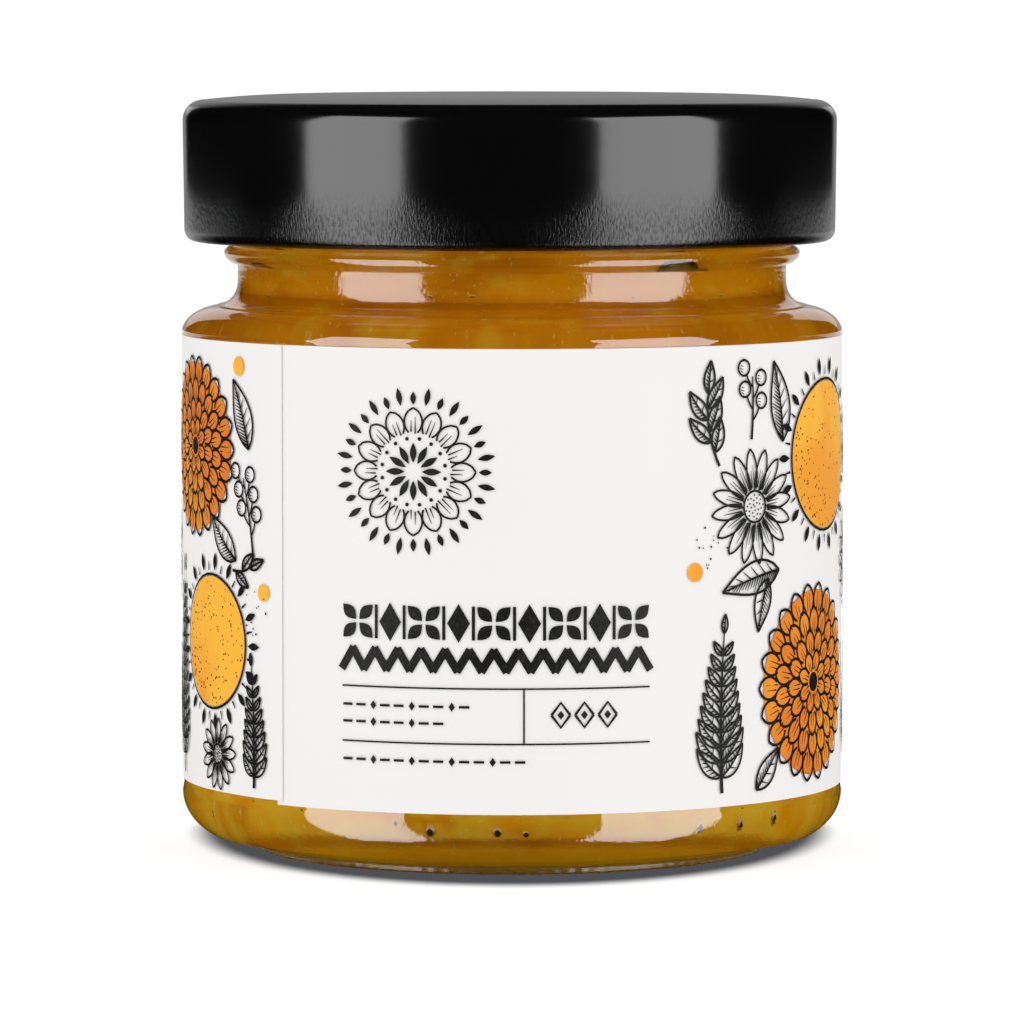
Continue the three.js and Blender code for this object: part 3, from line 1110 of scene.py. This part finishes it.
def drawLeftSide(orange, flower, pen):
    drawSun(orange, pen, (-37.9, 22.8), 6.7, 34)
    drawDahlia(flower, pen, (-42.4, 42.6), 9.3)
    drawFern(pen, (-29.6, 8.4), 88, 12.5, 8, 8, 3.2)
    drawDaisy(pen, (-36.6, 11.3), 3.7, 13, 4)
    drawBerries(pen, (-29.6, 31.5), 96, 8.6, 12, 6)
    drawLeaf(pen, (-32.8, 31.4), 148, 6.6, 2.8, -20)
    drawLeaf(pen, (-30.4, 42.8), 104, 7.6, 3.1, 16)
    drawSprig(pen, (-33.4, 30.4), 352, 3.2, 30, 2, 2.8)
    drawDots(pen, (-29.6, 26.2), 2.4, 12)
    orange.disc((-28.0, 28.4), 0.9)
    orange.disc((-32.2, 51.2), 1.0)
    drawFern(pen, (-47.6, 8.4), 96, 21, -12, 12, 4.4)
    drawDaisy(pen, (-56.4, 31), 5.8, 16)
    drawSun(orange, pen, (-59.6, 15.8), 6.2, 34)
    drawFern(pen, (-56, 39), 96, 12, 18, 8, 3.8)
    drawDahlia(flower, pen, (-70, 41.5), 8.4)
    drawLeaf(pen, (-65, 27), 130, 7, 2.9, 20)
    drawBerries(pen, (-72.5, 9.5), 84, 10, 14, 6)
    drawFern(pen, (-81, 9), 86, 27, 10, 14, 4.4)
    drawDaisy(pen, (-83, 45.5), 5.2, 15, 5)


# The plain block on the back: a frame with rows of marks and a band of diamonds
def drawBack(pen):
    middle = math.pi * paperRadius / mm
    wide = printing["backWidth"]
    low, high = printing["backEdges"]
    for u in (middle - wide, middle + wide):
        pen.line([(u, low), (u, high)], 0.2)
    for v in (low, high, 43.5, 20.5):
        drawRule(pen, middle - wide, middle + wide, v, 0.2)
    for k in range(9):
        pen.diamond((middle - 11.2 + 2.8 * k, 46.2), 1.7, 2.5)
    for k in range(11):
        drawMarks(pen, middle - 12, middle + random.uniform(5, 12), 41.4 - 1.85 * k, 0.8)
    for k in range(23):
        pen.line([(middle - 11 + k, 13.2), (middle - 11 + k, 18.8)], 0.25 + 0.3 * (k * 7 % 3) / 2)


# Each stroke becomes one thin closed ribbon, laid on the paper round the jar
def layPrint(name, pen, lift, material):
    curve = bpy.data.curves.new(name, "CURVE")
    curve.dimensions = "3D"
    curve.bevel_depth = mm
    curve.bevel_resolution = 0
    curve.use_fill_caps = True
    for row in pen.strokes:
        spline = curve.splines.new("POLY")
        spline.points.add(len(row) - 1)
        for knot, (u, v, width) in zip(spline.points, row):
            knot.co = (u * mm, v * mm, 0, 1)
            knot.radius = width / 2
    piece = bpy.data.objects.new(name, curve)
    bpy.context.collection.objects.link(piece)
    selectOnly([piece])
    bpy.ops.object.convert(target="MESH")
    bpy.ops.object.shade_flat()
    piece = bpy.context.object
    for vertex in piece.data.vertices:
        u, v, side = vertex.co
        angle = u / paperRadius
        degrees = math.degrees(angle)
        if degrees < label["seam"] + label["lap"]:
            degrees += 360
        film = printing["film"] * mm if side > 0.001 * mm else 0
        r = paperRadius + paperLift(degrees) + lift * mm + film
        vertex.co = (r * math.sin(angle), -r * math.cos(angle), v)
    finishPiece(piece, material)
    return piece


def blackInk():
    sheet = Sheet("blackInk")
    washed = sheet.step(sheet.noise(2400, 3), 0.45, 0.75)
    colour = sheet.mix(washed, printing["black"], printing["washedBlack"])
    rough = 0.5 + 0.1 * sheet.noise(900, 2)
    return sheet.surface(sheet.principled(Base_Color=colour, Roughness=rough, Specular_IOR_Level=0.2))


def brightInk(name, light, deep):
    sheet = Sheet(name)
    patch = sheet.noise(95, 2)
    grain = sheet.noise(2600, 2)
    colour = sheet.mix(sheet.step(patch + 0.1 * grain, 0.42, 0.66), light, deep)
    rough = 0.5 + 0.1 * grain
    return sheet.surface(sheet.principled(Base_Color=colour, Roughness=rough, Specular_IOR_Level=0.2))


blackPen = Pen()
orangePen = Pen()
flowerPen = Pen()
drawFront(blackPen)
drawRightSide(orangePen, flowerPen, blackPen)
drawLeftSide(orangePen, flowerPen, blackPen)
drawBack(blackPen)
sunInk = brightInk("sunInk", printing["orange"], printing["deepOrange"])
flowerInk = brightInk("flowerInk", printing["flower"], printing["deepFlower"])
layPrint("labelSuns", orangePen, printing["orangeLift"], sunInk)
layPrint("labelFlowers", flowerPen, printing["orangeLift"], flowerInk)
inkPrint = layPrint("labelInk", blackPen, printing["inkLift"], blackInk())
print("print made:", len(blackPen.strokes), "strokes,", len(inkPrint.data.polygons), "faces")


# Stage: a pale floor left out of reflections, soft boxes left and right, and a bright wall and table behind

# the boxes' edges are degrees from the front, the shade is in millimetres, and other sizes are in metres
stage = {
    "floorSize": 60,
    "floorWhite": (0.16, 0.16, 0.16, 1),
    "floorGlow": 0.87,
    "contactShade": (0.085, 0.09, 0.10, 1),
    "shadeAcross": 33.5,
    "shadeMiddle": 15,
    "shadeAhead": 50.5,
    "shadeBehind": 22,
    "shadeInner": 0.93,
    "shadeOuter": 1.05,
    "worldLight": 1.09,
    "boxDistance": 1.1,
    "boxSpan": (-1.5, 1.0),
    "boxLeft": (37, 74.5),
    "boxRight": (31, 76),
    "boxShine": 3.7,
    "wallDistance": 1.6,
    "wallWidth": 1.2,
    "wallHeight": 0.2,
    "wallShine": 0.36,
    "backdropTop": 0.85,
    "backdropShine": 0.75,
    "tableMiddle": (0, 0.89, 0.001),
    "tableSize": (1.4, 1.36),
    "tableShine": 0.8,
}


def makeFloor():
    bpy.ops.object.select_all(action="DESELECT")
    bpy.ops.mesh.primitive_plane_add(size=stage["floorSize"], location=(0, 0, 0))
    floor = bpy.context.object
    floor.name = "floor"
    sheet = Sheet("paleFloor")
    # a painted shadow under the jar: an oval that is long towards the front and short behind
    across = sheet.axis("X") / (stage["shadeAcross"] * mm)
    back = sheet.axis("Y") - stage["shadeMiddle"] * mm
    depth = sheet.math("MAXIMUM", back / (-stage["shadeAhead"] * mm), back / (stage["shadeBehind"] * mm))
    away = sheet.math("SQRT", across * across + depth * depth)
    clear = sheet.step(away, stage["shadeInner"], stage["shadeOuter"])
    tone = sheet.mix(clear, stage["contactShade"], (1, 1, 1, 1))
    white = sheet.mix(1.0, tone, stage["floorWhite"], "MULTIPLY")
    shader = sheet.principled(
        Base_Color=white,
        Roughness=0.8,
        Specular_IOR_Level=0.0,
        Emission_Color=tone,
        Emission_Strength=stage["floorGlow"],
    )
    floor.data.materials.append(sheet.surface(shader))
    floor.visible_glossy = False


def makeWorld():
    world = bpy.data.worlds.new("studio")
    world.use_nodes = True
    background = world.node_tree.nodes["Background"]
    background.inputs["Color"].default_value = (1, 1, 1, 1)
    background.inputs["Strength"].default_value = stage["worldLight"]
    world.cycles_visibility.glossy = False
    bpy.context.scene.world = world


# A rectangle of light, seen only in reflections
def shine(name, place, towards, width, height, strength):
    bpy.ops.object.light_add(type="AREA", location=place)
    lamp = bpy.context.object
    lamp.name = name
    lamp.rotation_euler = towards.to_track_quat("-Z", "Y").to_euler()
    lamp.data.shape = "RECTANGLE"
    lamp.data.size = width
    lamp.data.size_y = height
    lamp.data.energy = strength * width * height * math.pi
    lamp.visible_camera = False
    lamp.visible_diffuse = False
    lamp.visible_transmission = False


# An upright one that faces the jar's axis
def shineBox(name, azimuth, width, height, distance, level, strength):
    a = math.radians(azimuth)
    place = Vector((distance * math.sin(a), -distance * math.cos(a), level))
    shine(name, place, Vector((0, 0, level)) - place, width, height, strength)


def sideBox(name, side, span):
    low, high = span
    middle = (low + high) / 2
    width = 2 * stage["boxDistance"] * math.tan(math.radians((high - low) / 2))
    bottom, top = stage["boxSpan"]
    level = (bottom + top) / 2
    shineBox(name, side * middle, width, top - bottom, stage["boxDistance"], level, stage["boxShine"])


def makeCamera():
    eye = {"distance": 0.752, "height": 0.0889, "pitch": 4.107, "lens": 253.9}
    bpy.ops.object.camera_add(location=(0, -eye["distance"], eye["height"]))
    camera = bpy.context.object
    camera.rotation_euler = (math.radians(90 - eye["pitch"]), 0, 0)
    camera.data.sensor_width = 36
    camera.data.lens = eye["lens"]
    camera.data.clip_start = 0.01
    bpy.context.scene.camera = camera


makeFloor()
makeWorld()
sideBox("boxLeft", -1, stage["boxLeft"])
sideBox("boxRight", 1, stage["boxRight"])
low, high = stage["wallHeight"], stage["backdropTop"]
width, distance = stage["wallWidth"], stage["wallDistance"]
shineBox("wall", 180, width, low, distance, low / 2, stage["wallShine"])
shineBox("backdrop", 180, width, high - low, distance, (low + high) / 2, stage["backdropShine"])
shine("table", stage["tableMiddle"], Vector((0, 0, 1)), *stage["tableSize"], stage["tableShine"])
makeCamera()
bpy.context.scene.view_settings.view_transform = "Standard"
print("stage made")
